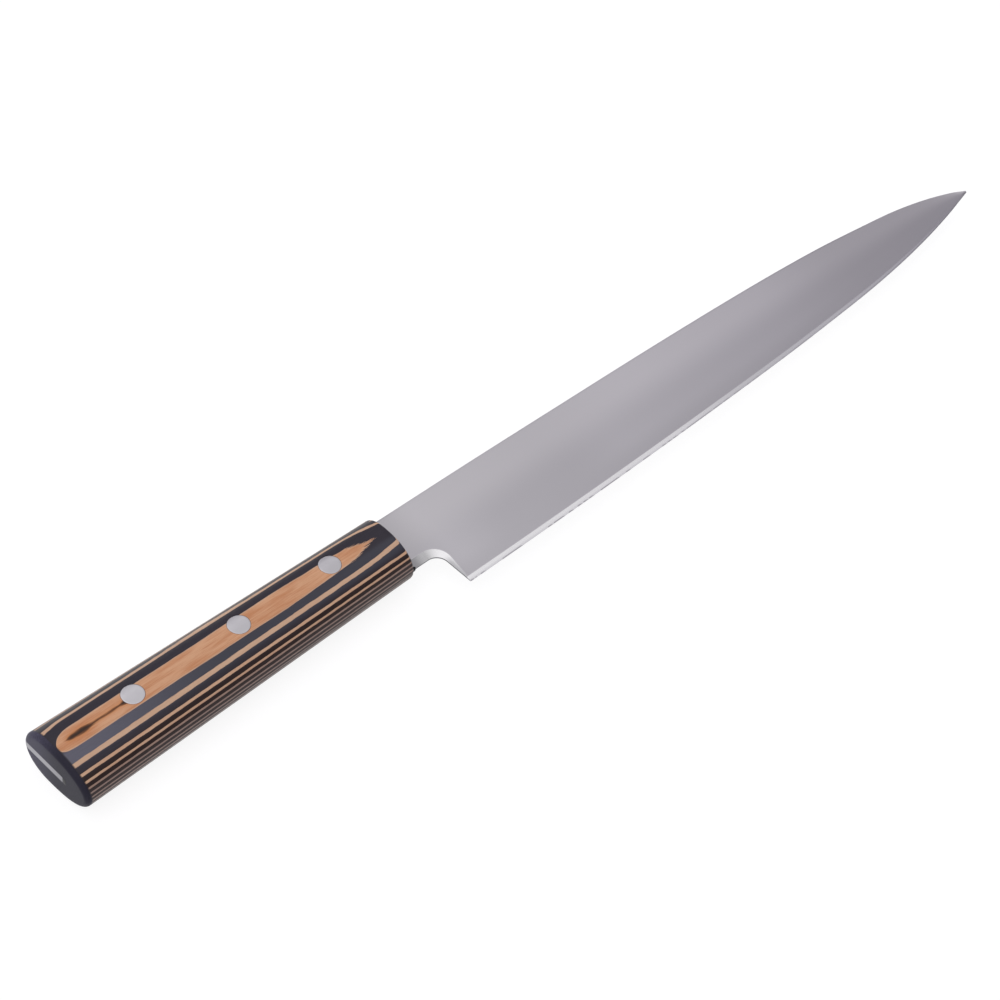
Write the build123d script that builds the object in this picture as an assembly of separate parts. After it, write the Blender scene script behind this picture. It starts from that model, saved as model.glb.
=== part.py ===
from build123d import *
import math
import os

# A yanagiba slicing knife lying on its left side, in millimetres.
# +X runs from the butt to the tip, +Y from the cutting edge to the spine, +Z out of the right face.
# The origin is on the butt face, where the line of rivets meets the middle plane of the tang.

# Handle block, measured from the line of rivets
handle_length = 126.0
handle_thickness = 17.5
butt_spine_side = 12.2
butt_belly_side = 16.2
front_spine_side = 9.5
front_belly_wall = 0.8
crown_offset = 0.8
# power of the handle's oval section along Y, where 2 is an ellipse and more is fuller
oval_power = 2.37
oval_steps = 32
butt_rounding = 1.6
butt_cap_rim = 0.1
front_chamfer = 0.6

# Veneers of the handle block, stacked from the middle plane outwards
tan_veneer = 0.52
dark_veneer = 0.74
# where the outermost veneer is sanded through, from the butt cap and from the front
patch_rear_inset = 0.2
patch_front_inset = 7.0

# Tang, and the slot sawn for it into the block from the spine side
tang_thickness = 2.4
tang_butt_depth = 5.3
tang_glue_line = 0.03
slot_butt_gap = 1.5
slot_front_gap = 0.4

# Rivets, each a tube with a head on the left and a pin with a head on the right
rivet_head_diameter = 7.0
rivet_head_thickness = 1.6
rivet_tube_diameter = 5.0
rivet_pin_diameter = 3.0
rivet_fit = 0.02
rivet_end_gap = 0.4
rivet_blind_wall = 1.2
rear_rivet_inset = 29.1
front_rivet_inset = 22.8
# place of the middle rivet between the rear one and the front one
middle_rivet_share = 0.5236

# Blade, measured from the front of the handle and from the line of rivets
neck_length = 11.0
neck_depth = 12.1
edge_length = 269.0
spine_height = 8.5
heel_depth = 26.5
tip_depth = 10.4
tip_height = 0.5
spine_thickness = 2.2
tip_thickness = 0.7

# Choil: the arch between the neck and the heel, and the relief ground along it
arch_radius = 4.0
relief_width = 2.8
relief_depth = 1.65

# Outline of the blade: shares of its length, and at each the share of the spine's fall and the edge's rise
station_shares = (0.0, 0.15, 0.30, 0.45, 0.58, 0.68, 0.76, 0.83, 0.89, 0.94, 0.98, 1.0)
spine_fall_shares = (0.0, 0.007, 0.033, 0.066, 0.116, 0.178, 0.258, 0.369, 0.485, 0.651, 0.852, 1.0)
edge_rise_shares = (0.0, 0.003, 0.028, 0.079, 0.145, 0.230, 0.320, 0.447, 0.600, 0.764, 0.918, 1.0)
section_count = 32

# Section of the blade, as shares of the local height and of the local thickness
ridge_height_share = 0.52
ridge_thickness_share = 0.66
bevel_height_share = 0.06
bevel_thickness_share = 0.26

# One overrun takes every cut past what it cuts
overrun = 3.0

# A quarter turn in degrees
quarter_turn = 90

# Places worked out from the sizes above
half_handle = handle_thickness / 2
half_tang = tang_thickness / 2
half_spine = spine_thickness / 2
left_face = -half_spine
heel_x = handle_length + neck_length
front_belly_side = neck_depth + slot_front_gap + front_belly_wall
butt_cap_thickness = butt_rounding + butt_cap_rim
head_seat = half_handle - rivet_head_thickness
front_rivet_place = handle_length - front_rivet_inset
rivet_places = (
    rear_rivet_inset,
    rear_rivet_inset + middle_rivet_share * (front_rivet_place - rear_rivet_inset),
    front_rivet_place,
)


def oval(x, spine_side, belly_side):
    """The handle's section at x: an egg shape, widest at the crown, as a face square to the handle."""
    points = []
    for step in range(oval_steps):
        angle = 2 * math.pi * step / oval_steps
        reach = spine_side - crown_offset if math.sin(angle) > 0 else belly_side + crown_offset
        across = math.copysign(abs(math.sin(angle)) ** (2 / oval_power), math.sin(angle))
        points.append(Vector(crown_offset + reach * across, half_handle * math.cos(angle)))
    # even parameters keep each height on one straight line from the butt to the front
    parameters = [step / oval_steps for step in range(oval_steps + 1)]
    outline = make_face(Edge.make_spline(points, periodic=True, parameters=parameters))
    return Plane(origin=(x, 0, 0), x_dir=(0, 1, 0), z_dir=(1, 0, 0)) * outline


def tang_top(spine_side):
    """Height at which the oval is as wide as the tang, where the tang's top edge lies flush."""
    share = (1 - (half_tang / half_handle) ** 2) ** (1 / oval_power)
    return crown_offset + (spine_side - crown_offset) * share


def handle_block():
    """The handle before it is slotted and drilled: a tapering oval, its butt rounded and its front eased."""
    block = loft(
        [
            oval(0, butt_spine_side, butt_belly_side),
            oval(handle_length, front_spine_side, front_belly_side),
        ],
        ruled=True,
    )
    block = fillet(block.faces().sort_by(Axis.X)[0].edges(), butt_rounding)
    return chamfer(block.faces().sort_by(Axis.X)[-1].edges(), front_chamfer)


def layer(rear, front, low, high):
    """Everything between two places along the handle and between two heights."""
    width = butt_spine_side + butt_belly_side + 2 * overrun
    centre = Pos((rear + front) / 2, (butt_spine_side - butt_belly_side) / 2, (low + high) / 2)
    return centre * Box(front - rear, width, high - low)


def veneer_stack():
    """Kind, number, lower and upper height of the veneers at one side, from the middle one outwards."""
    stack = []
    low = tan_veneer / 2
    while low < half_handle:
        kind, thickness = (("dark", dark_veneer), ("tan", tan_veneer))[len(stack) % 2]
        stack.append((kind, len(stack) // 2 + 1, low, low + thickness))
        low += thickness
    return stack


def plate(points, thickness):
    """A flat plate about the middle plane, with straight sides between the points."""
    return extrude(make_face(Polyline(*points, close=True)), thickness / 2, both=True)


def tang_plate():
    """The tang: it tapers towards the butt, and its top edge and ends are ground flush with the handle."""
    outline = plate(
        [
            (0, -tang_butt_depth),
            (handle_length, -neck_depth),
            (handle_length, tang_top(front_spine_side)),
            (0, tang_top(butt_spine_side)),
        ],
        tang_thickness,
    )
    butt_corners = outline.edges().filter_by(Axis.Z).group_by(Axis.X)[0]
    outline = fillet(butt_corners.sort_by(Axis.Y)[-1], butt_rounding)
    front_corners = outline.edges().filter_by(Axis.Z).group_by(Axis.X)[-1]
    return chamfer(front_corners.sort_by(Axis.Y)[-1], front_chamfer)


def slot_cutter():
    """The slot sawn from the spine side, deeper than the tang by the gap that the glue fills."""
    butt_depth = tang_butt_depth + slot_butt_gap
    front_depth = neck_depth + slot_front_gap
    slope = (front_depth - butt_depth) / handle_length
    rear, front, top = -overrun, handle_length + overrun, butt_spine_side + overrun
    points = [
        (rear, -butt_depth - slope * rear),
        (front, -butt_depth - slope * front),
        (front, top),
        (rear, top),
    ]
    return plate(points, tang_thickness + 2 * tang_glue_line)


def slot_filler():
    """The wedge of glue between the tang's lower edge and the end of the slot."""
    points = [
        (0, -tang_butt_depth),
        (handle_length, -neck_depth),
        (handle_length, -neck_depth - slot_front_gap),
        (0, -tang_butt_depth - slot_butt_gap),
    ]
    return plate(points, tang_thickness)


def cylinder_between(x, radius, low, high):
    """A round bar along Z at a rivet's place."""
    return Pos(x, 0, (low + high) / 2) * Cylinder(radius, high - low)


def rivet_hole(x):
    """The drilled hole with a seat for a head at each side."""
    outside = half_handle + overrun
    head_radius = rivet_head_diameter / 2 + rivet_fit
    shank = cylinder_between(x, rivet_tube_diameter / 2 + rivet_fit, -outside, outside)
    right = cylinder_between(x, head_radius, head_seat, outside)
    left = cylinder_between(x, head_radius, -outside, -head_seat)
    return shank + right + left


def rivet_tube(x, block):
    """The left half: a head ground flush with the handle, and a tube that is blind under the head."""
    head = cylinder_between(x, rivet_head_diameter / 2, -half_handle - overrun, -head_seat)
    tube = cylinder_between(x, rivet_tube_diameter / 2, -head_seat, head_seat - rivet_end_gap)
    bore_end = rivet_blind_wall - head_seat
    bore = cylinder_between(x, rivet_pin_diameter / 2 + rivet_fit, bore_end, head_seat)
    return (head & block) + tube - bore


def rivet_pin(x, block):
    """The right half: a head ground flush with the handle, and the pin pressed into the tube."""
    head = cylinder_between(x, rivet_head_diameter / 2, head_seat, half_handle + overrun)
    pin_end = rivet_blind_wall + rivet_end_gap - head_seat
    return (head & block) + cylinder_between(x, rivet_pin_diameter / 2, pin_end, head_seat)


def smooth(share, values):
    """A smooth curve through the values at the station shares: cubic pieces that share their slopes."""
    slopes = []
    for i in range(len(values)):
        before, after = max(i - 1, 0), min(i + 1, len(values) - 1)
        slopes.append((values[after] - values[before]) / (station_shares[after] - station_shares[before]))
    i = max(k for k in range(len(values) - 1) if station_shares[k] <= share)
    step = station_shares[i + 1] - station_shares[i]
    t = (share - station_shares[i]) / step
    start = (1 + 2 * t) * (1 - t) ** 2 * values[i] + t * (1 - t) ** 2 * step * slopes[i]
    end = t**2 * (3 - 2 * t) * values[i + 1] - t**2 * (1 - t) * step * slopes[i + 1]
    return start + end


def blade_section(share):
    """The section at one share of the blade's length: flat left, ridged right, with a narrow edge bevel."""
    x = handle_length + share * (neck_length + edge_length)
    fall = smooth(share, spine_fall_shares)
    rise = smooth(share, edge_rise_shares)
    spine = spine_height - fall * (spine_height + tip_depth - tip_height / 2)
    edge = rise * (heel_depth - tip_depth - tip_height / 2) - heel_depth
    height = spine - edge
    thickness = spine_thickness + share * (tip_thickness - spine_thickness)
    bevel_height = bevel_height_share * height
    bevel_top = left_face + bevel_thickness_share * thickness
    # the bevel runs on below the left face, where the flat cut then leaves a sharp edge
    below = left_face - half_spine
    run_on = bevel_height * (left_face - below) / (bevel_top - left_face)
    outline = Polyline(
        (spine, below),
        (spine, left_face + thickness),
        (spine - ridge_height_share * height, left_face + ridge_thickness_share * thickness),
        (edge + bevel_height, bevel_top),
        (edge - run_on, below),
        close=True,
    )
    return Plane(origin=(x, 0, 0), x_dir=(0, 1, 0), z_dir=(1, 0, 0)) * make_face(outline)


def choil_cutter():
    """What is cut away under the neck: a straight run, a quarter arch and the upright wall of the heel."""
    rear = handle_length - overrun
    low = -heel_depth - overrun
    arch_start = heel_x - arch_radius
    neck_line = Line((rear, -neck_depth), (arch_start, -neck_depth))
    arch = CenterArc((arch_start, -neck_depth - arch_radius), arch_radius, 0, quarter_turn)
    wall = Line((heel_x, -neck_depth - arch_radius), (heel_x, low))
    rest = Polyline((heel_x, low), (rear, low), (rear, -neck_depth))
    return extrude(make_face([neck_line, arch, wall, rest]), spine_thickness, both=True)


def choil_relief():
    """The hollow ground round the arch on the right side: a cone that dies out along the neck and heel."""
    depth = relief_depth + overrun
    wide = arch_radius + relief_width * depth / relief_depth
    low = half_spine - relief_depth
    place = Pos(heel_x - arch_radius, -neck_depth - arch_radius, low + depth / 2)
    return place * Cone(arch_radius, wide, depth)


def blade_body():
    """The blade in front of the handle, with its left side flat and the choil cut."""
    # the sections stand closer towards the tip, where the outline curves most
    shares = [math.sin(math.pi / 2 * k / section_count) for k in range(section_count + 1)]
    body = loft([blade_section(share) for share in shares], ruled=True)
    length = neck_length + edge_length + 2 * overrun
    width = spine_height + heel_depth + 4 * overrun
    middle = (spine_height - heel_depth) / 2
    place = Pos(handle_length + length / 2 - overrun, middle, left_face - overrun / 2)
    return body - place * Box(length, width, overrun) - choil_cutter() - choil_relief()


def write(shape, name):
    """Write one piece under its node's name."""
    export_step(shape, "parts/" + name + ".step")


os.makedirs("parts", exist_ok=True)

block = handle_block()
holes = [rivet_hole(x) for x in rivet_places]

# Blade and tang are one piece of steel
tang = tang_plate()
for hole in holes:
    tang -= hole
write(tang + blade_body(), "blade")
write(slot_filler(), "slot_filler")

cut_block = block - slot_cutter()
for hole in holes:
    cut_block -= hole
end = handle_length + overrun
top = half_handle + overrun
write(cut_block & layer(-overrun, butt_cap_thickness, -top, top), "butt_cap")

# Veneers, from the middle one outwards on each side
veneers = cut_block & layer(butt_cap_thickness, end, -top, top)
write(veneers & layer(0, end, -tan_veneer / 2, tan_veneer / 2), "tan_veneer_core")
stack = veneer_stack()
patch_low = stack[-1][2]
patch = layer(butt_cap_thickness + patch_rear_inset, handle_length - patch_front_inset, patch_low, top)
for kind, number, low, high in stack:
    if low == patch_low:
        zone = patch
    elif high == patch_low:
        # the veneer under the outermost one shows round it, up to the surface
        zone = layer(0, end, low, top) - patch
    else:
        zone = layer(0, end, low, high)
    write(veneers & zone, f"{kind}_veneer_right_{number}")
    write(veneers & mirror(zone, Plane.XY), f"{kind}_veneer_left_{number}")

for place, x in zip(("rear", "middle", "front"), rivet_places):
    write(rivet_tube(x, block), f"rivet_tube_{place}")
    write(rivet_pin(x, block), f"rivet_pin_{place}")
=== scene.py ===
"""Looks of a yanagiba slicing knife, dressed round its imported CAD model.

The frame is the CAD model's own: +X runs from the butt to the tip, +Y from the edge to the spine and +Z out
of the right face. The origin lies on the butt face, on the line of rivets. Meshes are in metres, and the
places and sizes in materials are in millimetres.
"""

import logging
import math
from dataclasses import dataclass, field
from enum import Enum

import bmesh
import bpy
import numpy as np
from mathutils import Matrix, Vector


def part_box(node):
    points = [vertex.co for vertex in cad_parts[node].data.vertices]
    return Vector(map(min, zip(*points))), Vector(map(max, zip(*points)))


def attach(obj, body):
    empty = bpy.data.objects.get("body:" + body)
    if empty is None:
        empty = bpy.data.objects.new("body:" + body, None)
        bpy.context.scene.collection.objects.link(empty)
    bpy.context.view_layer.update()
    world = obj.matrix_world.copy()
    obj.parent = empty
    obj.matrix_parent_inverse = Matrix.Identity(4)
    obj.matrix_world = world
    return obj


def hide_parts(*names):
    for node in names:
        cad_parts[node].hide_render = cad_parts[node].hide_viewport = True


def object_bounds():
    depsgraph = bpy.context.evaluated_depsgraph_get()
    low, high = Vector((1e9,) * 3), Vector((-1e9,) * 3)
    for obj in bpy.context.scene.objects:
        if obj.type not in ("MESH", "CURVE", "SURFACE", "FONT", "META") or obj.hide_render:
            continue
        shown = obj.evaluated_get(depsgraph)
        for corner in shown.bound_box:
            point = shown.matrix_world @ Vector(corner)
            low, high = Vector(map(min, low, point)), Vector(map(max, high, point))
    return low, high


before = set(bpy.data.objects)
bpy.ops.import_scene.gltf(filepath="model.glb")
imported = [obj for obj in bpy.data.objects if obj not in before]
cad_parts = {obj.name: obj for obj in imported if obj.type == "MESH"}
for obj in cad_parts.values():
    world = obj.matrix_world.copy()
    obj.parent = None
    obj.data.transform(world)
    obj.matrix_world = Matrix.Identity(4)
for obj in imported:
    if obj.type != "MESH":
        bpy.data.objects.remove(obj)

CAD_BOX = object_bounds()
MM = 0.001
BODY = "root"
SEAM_MERGE = 1e-7

Colour = tuple[float, float, float]
Box = tuple[Vector, Vector]

log = logging.getLogger("knife")


class Side(Enum):
    """The two flanks of the handle, by the sign of Z."""

    RIGHT = 1
    LEFT = -1


class Slot(Enum):
    """The record's material slots."""

    BLADE = "blade_steel"
    RIVET = "rivet_steel"
    DARK = "dark_veneer"
    BUTT = "butt_resin"
    GLUE = "slot_glue"


@dataclass
class Patchwork:
    """A closed surface made of grids of points that meet along their borders."""

    name: str
    grids: list[np.ndarray] = field(default_factory=list)
    marks: list[dict[str, np.ndarray]] = field(default_factory=list)

    def add(self, grid: np.ndarray, **marks: np.ndarray) -> None:
        """Add a grid of rows by columns of points, with an array of its rows by columns for each mark."""
        self.grids.append(grid)
        self.marks.append(marks)

    def corners(self) -> np.ndarray:
        """Point numbers at the corners of every face: neighbours in a grid, counted on from grid to grid.

        Returns:
            The numbers, as faces by 4.
        """
        faces, start = [], 0
        for grid in self.grids:
            rows, columns = grid.shape[:2]
            index = start + np.arange(rows * columns).reshape(rows, columns)
            around = (index[:-1, :-1], index[1:, :-1], index[1:, 1:], index[:-1, 1:])
            faces.append(np.stack(around, -1).reshape(-1, 4))
            start += rows * columns
        return np.concatenate(faces)

    def mark_points(self, mesh: bpy.types.Mesh) -> None:
        """Write each mark as an attribute of the points, zero in the grids that don't carry it.

        Args:
            mesh: the mesh made of the grids' points, in their order.
        """
        for name in sorted({name for marks in self.marks for name in marks}):
            parts = [
                marks.get(name, np.zeros(grid.shape[:2])).ravel()
                for grid, marks in zip(self.grids, self.marks)
            ]
            layer = mesh.attributes.new(name, "FLOAT", "POINT")
            layer.data.foreach_set("value", np.concatenate(parts).astype(np.float32))

    def build(self, crease: float = 40.0) -> bpy.types.Object:
        """Join the grids into one mesh with its faces pointing outwards.

        Args:
            crease: edges sharper than this many degrees stay sharp.

        Returns:
            The object, at the origin, with its place in its mesh.
        """
        mesh = bpy.data.meshes.new(self.name)
        points = np.concatenate([grid.reshape(-1, 3) for grid in self.grids])
        mesh.from_pydata(points, [], self.corners().tolist())
        self.mark_points(mesh)
        work = bmesh.new()
        work.from_mesh(mesh)
        bmesh.ops.remove_doubles(work, verts=work.verts, dist=SEAM_MERGE)
        bmesh.ops.dissolve_degenerate(work, edges=work.edges, dist=SEAM_MERGE)
        bmesh.ops.recalc_face_normals(work, faces=work.faces)
        work.to_mesh(mesh)
        work.free()
        mesh.polygons.foreach_set("use_smooth", np.ones(len(mesh.polygons), bool))
        mesh.set_sharp_from_angle(angle=math.radians(crease))
        thing = bpy.data.objects.new(self.name, mesh)
        bpy.context.scene.collection.objects.link(thing)
        return thing


def place(thing: bpy.types.Object, finish: bpy.types.Material, slot: Slot, *nodes: str) -> None:
    """Dress a piece, let it ride on the knife's one body and stand for CAD nodes.

    Args:
        thing: the piece.
        finish: its material.
        slot: not used.
        nodes: the CAD nodes that it stands for.
    """
    thing.data.materials.append(finish)
    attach(thing, BODY)
    if nodes:
        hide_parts(*nodes)
    log.info("%s: %d faces for %d nodes", thing.name, len(thing.data.polygons), len(nodes))


def quarter(count: int) -> np.ndarray:
    """Angles from zero to a quarter turn."""
    return np.linspace(0, math.pi / 2, count)


def whole_turn(count: int) -> np.ndarray:
    """Angles of a whole turn in that many steps, the first one once more at the end."""
    return np.linspace(0, 2 * math.pi, count + 1)


def lerp(start: float, end: float, share: np.ndarray) -> np.ndarray:
    """The value at a share of the way from start to end."""
    return start + (end - start) * share


def step_up(low: float, high: float, value: np.ndarray) -> np.ndarray:
    """Zero below low, one above high and the cubic 3t^2 - 2t^3 between them."""
    share = np.clip((value - low) / (high - low), 0, 1)
    return share * share * (3 - 2 * share)


def blend_min(first: np.ndarray, second: np.ndarray, softness: float) -> np.ndarray:
    """The smaller height, less softness / 4 times (1 - gap)^2 for a gap in softnesses of up to one."""
    gap = np.clip((first - second) / softness, -1, 1)
    return np.minimum(first, second) - softness * (1 - np.abs(gap)) ** 2 / 4


def opaque(tone: Colour, share: float = 1.0) -> tuple[float, float, float, float]:
    """A share of a linear colour, with no transparency."""
    return (*(part * share for part in tone), 1.0)


@dataclass(frozen=True)
class Value:
    """What a shader node gives at each point, with the usual signs for sums and products of numbers."""

    tree: "Tree"
    socket: bpy.types.NodeSocket

    def __add__(self, other: "Value | float") -> "Value":
        """The sum of the two."""
        return self.tree.math("ADD", self, other)

    def __sub__(self, other: "Value | float") -> "Value":
        """This one less the other."""
        return self.tree.math("SUBTRACT", self, other)

    def __rsub__(self, other: float) -> "Value":
        """The other one less this one."""
        return self.tree.math("SUBTRACT", other, self)

    def __mul__(self, other: "Value | float") -> "Value":
        """The product of the two."""
        return self.tree.math("MULTIPLY", self, other)

    def __truediv__(self, other: "Value | float") -> "Value":
        """This one divided by the other."""
        return self.tree.math("DIVIDE", self, other)

    def __pow__(self, power: float) -> "Value":
        """This one to a power."""
        return self.tree.math("POWER", self, power)

    def __abs__(self) -> "Value":
        """This one without its sign."""
        return self.tree.math("ABSOLUTE", self)

    def at_least(self, low: "Value | float") -> "Value":
        """The larger of the two."""
        return self.tree.math("MAXIMUM", self, low)

    def at_most(self, high: "Value | float") -> "Value":
        """The smaller of the two."""
        return self.tree.math("MINIMUM", self, high)


@dataclass(frozen=True)
class Spot:
    """The point that a material shades: its place on the knife in millimetres, and the parts of that."""

    vector: Value
    x: Value
    y: Value
    z: Value

    @property
    def flank(self) -> Value:
        """Its height above the middle plane, on either side."""
        return abs(self.z)


class Tree:
    """A material's node tree, with one short method for each kind of node used here."""

    def __init__(self, name: str) -> None:
        """Start an empty material.

        Args:
            name: the material's name.
        """
        self.material = bpy.data.materials.new(name)
        self.material.use_nodes = True
        self.nodes = self.material.node_tree.nodes
        self.links = self.material.node_tree.links
        self.nodes.clear()

    def put(self, socket: bpy.types.NodeSocket, value: object) -> None:
        """Set a socket to a constant, or link it to another node's output.

        Args:
            socket: the socket.
            value: the constant, or what the other node gives.
        """
        if isinstance(value, Value):
            self.links.new(value.socket, socket)
        else:
            socket.default_value = value

    def math(self, operation: str, *values: Value | float) -> Value:
        """Reckon with one Math node.

        Args:
            operation: the node's operation.
            values: what it works on.

        Returns:
            The result.
        """
        node = self.nodes.new("ShaderNodeMath")
        node.operation = operation
        for socket, value in zip(node.inputs, values):
            self.put(socket, value)
        return Value(self, node.outputs[0])

    def mix(self, factor: Value, first: object, second: object) -> Value:
        """Mix two colours.

        Args:
            factor: the share of the second.
            first: a colour.
            second: another one.

        Returns:
            The mixed colour.
        """
        node = self.nodes.new("ShaderNodeMix")
        node.data_type = "RGBA"
        first_socket, second_socket = (entry for entry in node.inputs if entry.type == "RGBA")
        self.put(node.inputs[0], factor)
        self.put(first_socket, first)
        self.put(second_socket, second)
        return Value(self, next(entry for entry in node.outputs if entry.type == "RGBA"))

    def spot(self) -> Spot:
        """The shaded point: its Object coordinates in millimetres.

        Returns:
            The point and its parts.
        """
        coordinates = self.nodes.new("ShaderNodeTexCoord")
        scaled = self.nodes.new("ShaderNodeVectorMath")
        scaled.operation = "SCALE"
        self.links.new(coordinates.outputs["Object"], scaled.inputs[0])
        scaled.inputs["Scale"].default_value = 1 / MM
        parts = self.nodes.new("ShaderNodeSeparateXYZ")
        self.links.new(scaled.outputs[0], parts.inputs[0])
        return Spot(Value(self, scaled.outputs[0]), *(Value(self, part) for part in parts.outputs))

    def mark(self, name: str) -> Value:
        """Read a number that the mesh carries at each point.

        Args:
            name: the attribute's name.

        Returns:
            The number.
        """
        node = self.nodes.new("ShaderNodeAttribute")
        node.attribute_name = name
        return Value(self, node.outputs["Fac"])

    def bump(self, height: Value, depth: float) -> Value:
        """Tilt the normal by a height.

        Args:
            height: the height, about one from low to high.
            depth: what one stands for, in metres.

        Returns:
            The normal.
        """
        node = self.nodes.new("ShaderNodeBump")
        node.inputs["Strength"].default_value = 1.0
        node.inputs["Distance"].default_value = depth
        self.put(node.inputs["Height"], height)
        return Value(self, node.outputs[0])

    def finish(self, **sockets: object) -> bpy.types.Material:
        """Close the tree with one Principled shader.

        Args:
            sockets: the shader's sockets, with underscores for spaces.

        Returns:
            The finished material.
        """
        shader = self.nodes.new("ShaderNodeBsdfPrincipled")
        output = self.nodes.new("ShaderNodeOutputMaterial")
        for name, value in sockets.items():
            self.put(shader.inputs[name.replace("_", " ")], value)
        self.links.new(shader.outputs[0], output.inputs["Surface"])
        return self.material


@dataclass(frozen=True)
class Fade:
    """A smooth step from one level to another as a value goes from low to high, which may lie below low."""

    low: float
    high: float
    start: float = 0.0
    end: float = 1.0

    def of(self, value: Value) -> Value:
        """Follow a value.

        Args:
            value: what the step follows.

        Returns:
            The step's level.
        """
        node = value.tree.nodes.new("ShaderNodeMapRange")
        node.interpolation_type = "SMOOTHSTEP"
        value.tree.put(node.inputs["Value"], value)
        ends = {"From Min": self.low, "From Max": self.high, "To Min": self.start, "To Max": self.end}
        for name, end in ends.items():
            node.inputs[name].default_value = end
        return Value(value.tree, node.outputs[0])


@dataclass(frozen=True)
class Grain:
    """Noise about zero, from about -0.5 to 0.5, in grains of given lengths along X, Y and Z.

    Detail adds octaves of finer grain, and the shift lets two patterns of one size differ.
    """

    sizes: tuple[float, float, float]
    detail: float = 2.0
    shift: float = 0.0

    def of(self, spot: Spot) -> Value:
        """Read the noise at a point.

        Args:
            spot: the shaded point.

        Returns:
            The noise.
        """
        tree = spot.vector.tree
        mapping = tree.nodes.new("ShaderNodeMapping")
        tree.put(mapping.inputs["Vector"], spot.vector)
        mapping.inputs["Scale"].default_value = tuple(1 / size for size in self.sizes)
        mapping.inputs["Location"].default_value = (self.shift, self.shift, self.shift)
        node = tree.nodes.new("ShaderNodeTexNoise")
        tree.links.new(mapping.outputs[0], node.inputs["Vector"])
        node.inputs["Scale"].default_value = 1.0
        node.inputs["Detail"].default_value = self.detail
        return Value(tree, node.outputs[0]) - 0.5


@dataclass(frozen=True)
class OvalMask:
    """The long oval where the outermost veneer is sanded through, blunt at the butt and an arrow in front."""

    middle: float = -0.84
    half_width: float = 3.4
    rear_start: float = 12.0
    rear_length: float = 10.0
    rear_power: float = 5.0
    rear_skew: float = 0.45
    taper_start: float = 85.0
    taper_slope: float = 0.03
    arrow_tip: float = 119.3
    arrow_slope: float = 0.30
    wander: Grain = Grain((24, 9, 30), 2.0, 1.3)
    wander_depth: float = 0.7
    grain: Grain = Grain((4.6, 0.19, 0.6), 3.0, 8.7)
    grain_depth: Fade = Fade(96.0, 118.0, 0.35, 1.6)
    streaks: Grain = Grain((6.0, 0.14, 0.5), 1.0, 4.4)
    streak_depth: Fade = Fade(105.0, 119.0, 0.0, 3.2)
    border: Fade = Fade(-0.10, 0.10)
    rim: Fade = Fade(0.55, 0.05, 0.0, 0.6)

    def masks(self, spot: Spot) -> tuple[Value, Value]:
        """Find the oval and its border.

        Its half width is the least of three: a skewed arc at the rear, a slow taper and the arrow's straight
        sides. The distance inside it is the half width less the distance from a wandering middle line, with
        grain added that frays the border, most of all at the front.

        Args:
            spot: the shaded point.

        Returns:
            One inside the oval, and a share along its border.
        """
        x, y = spot.x, spot.y
        back = ((y - self.middle) * self.rear_skew + (self.rear_start - x)).at_least(0.0) / self.rear_length
        rear = (1.0 - back**self.rear_power).at_least(0.0) ** 0.5 * self.half_width
        taper = self.half_width - (x - self.taper_start).at_least(0.0) * self.taper_slope
        arrow = (self.arrow_tip - x) * self.arrow_slope
        half = rear.at_most(taper).at_most(arrow)
        away = abs(y - self.middle + self.wander.of(spot) * self.wander_depth)
        inside = half - away + self.grain.of(spot) * self.grain_depth.of(x)
        inside = inside + self.streaks.of(spot) * self.streak_depth.of(x)
        return self.border.of(inside), self.rim.of(inside)


@dataclass(frozen=True)
class VeneerBend:
    """How the pressed veneers depart from flat: they lean across the handle and rise towards both ends."""

    front_start: float = 107.0
    front_length: float = 17.0
    bow_middle: float = 62.0
    bow_slope: float = 0.0035
    bow_least: float = 0.02
    rear_rise: Fade = Fade(9.0, 0.0, 0.0, 0.35)
    front_rise: float = 0.72
    spine_side: Fade = Fade(1.0, 4.0)
    belly_least: float = 0.016
    belly_slope: float = 0.0016
    low_belly: Fade = Fade(-7.5, -10.0)
    belly_lean: Fade = Fade(-2.0, -6.0, 0.0, 0.06)
    front_lean: Fade = Fade(-9.5, -6.5, 0.0, 0.27)
    below_spine_side: Fade = Fade(4.0, 1.0)
    thick_below: Fade = Fade(7.6, 6.6, 0.0, 0.6)
    thick_above: Fade = Fade(4.0, 5.6)
    thick_growth: float = 1.3
    thick_side: Fade = Fade(0.0, 3.0)
    waves: tuple[tuple[Grain, float], ...] = (
        (Grain((46, 11, 30), 2.0, 1.3), 0.10),
        (Grain((11, 2.6, 8), 2.0, 4.1), 0.06),
        (Grain((3.4, 0.3, 0.4), 2.0, 3.9), 0.12),
    )

    def height(self, spot: Spot) -> Value:
        """Find the height in the stack of veneers, counted from the middle plane on both flanks.

        It is the height above the middle plane less smooth shifts: a bow along the spine side that rises with
        the square of the distance at the front, a lean on the belly side, and one near the front between the
        two. One dark veneer is thick at the spine side, and noise adds slow waves and a frayed border.

        Args:
            spot: the shaded point.

        Returns:
            The height in millimetres.
        """
        x, y, flank = spot.x, spot.y, spot.flank
        front = ((x - self.front_start) / self.front_length).at_least(0.0) ** 2.0
        bow = abs(x - self.bow_middle) * self.bow_slope + self.bow_least
        spine = (bow + self.rear_rise.of(x) + front * self.front_rise) * self.spine_side.of(y)
        belly = (self.belly_least - x * self.belly_slope) * self.low_belly.of(y) + self.belly_lean.of(y)
        between = front * self.front_lean.of(y) * self.below_spine_side.of(y)
        thick = self.thick_below.of(flank) * self.thick_above.of(flank) * (front * self.thick_growth + 1.0)
        height = flank + thick * self.thick_side.of(y) - spine - belly - between
        for grain, depth in self.waves:
            height = height + grain.of(spot) * depth
        return height


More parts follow.
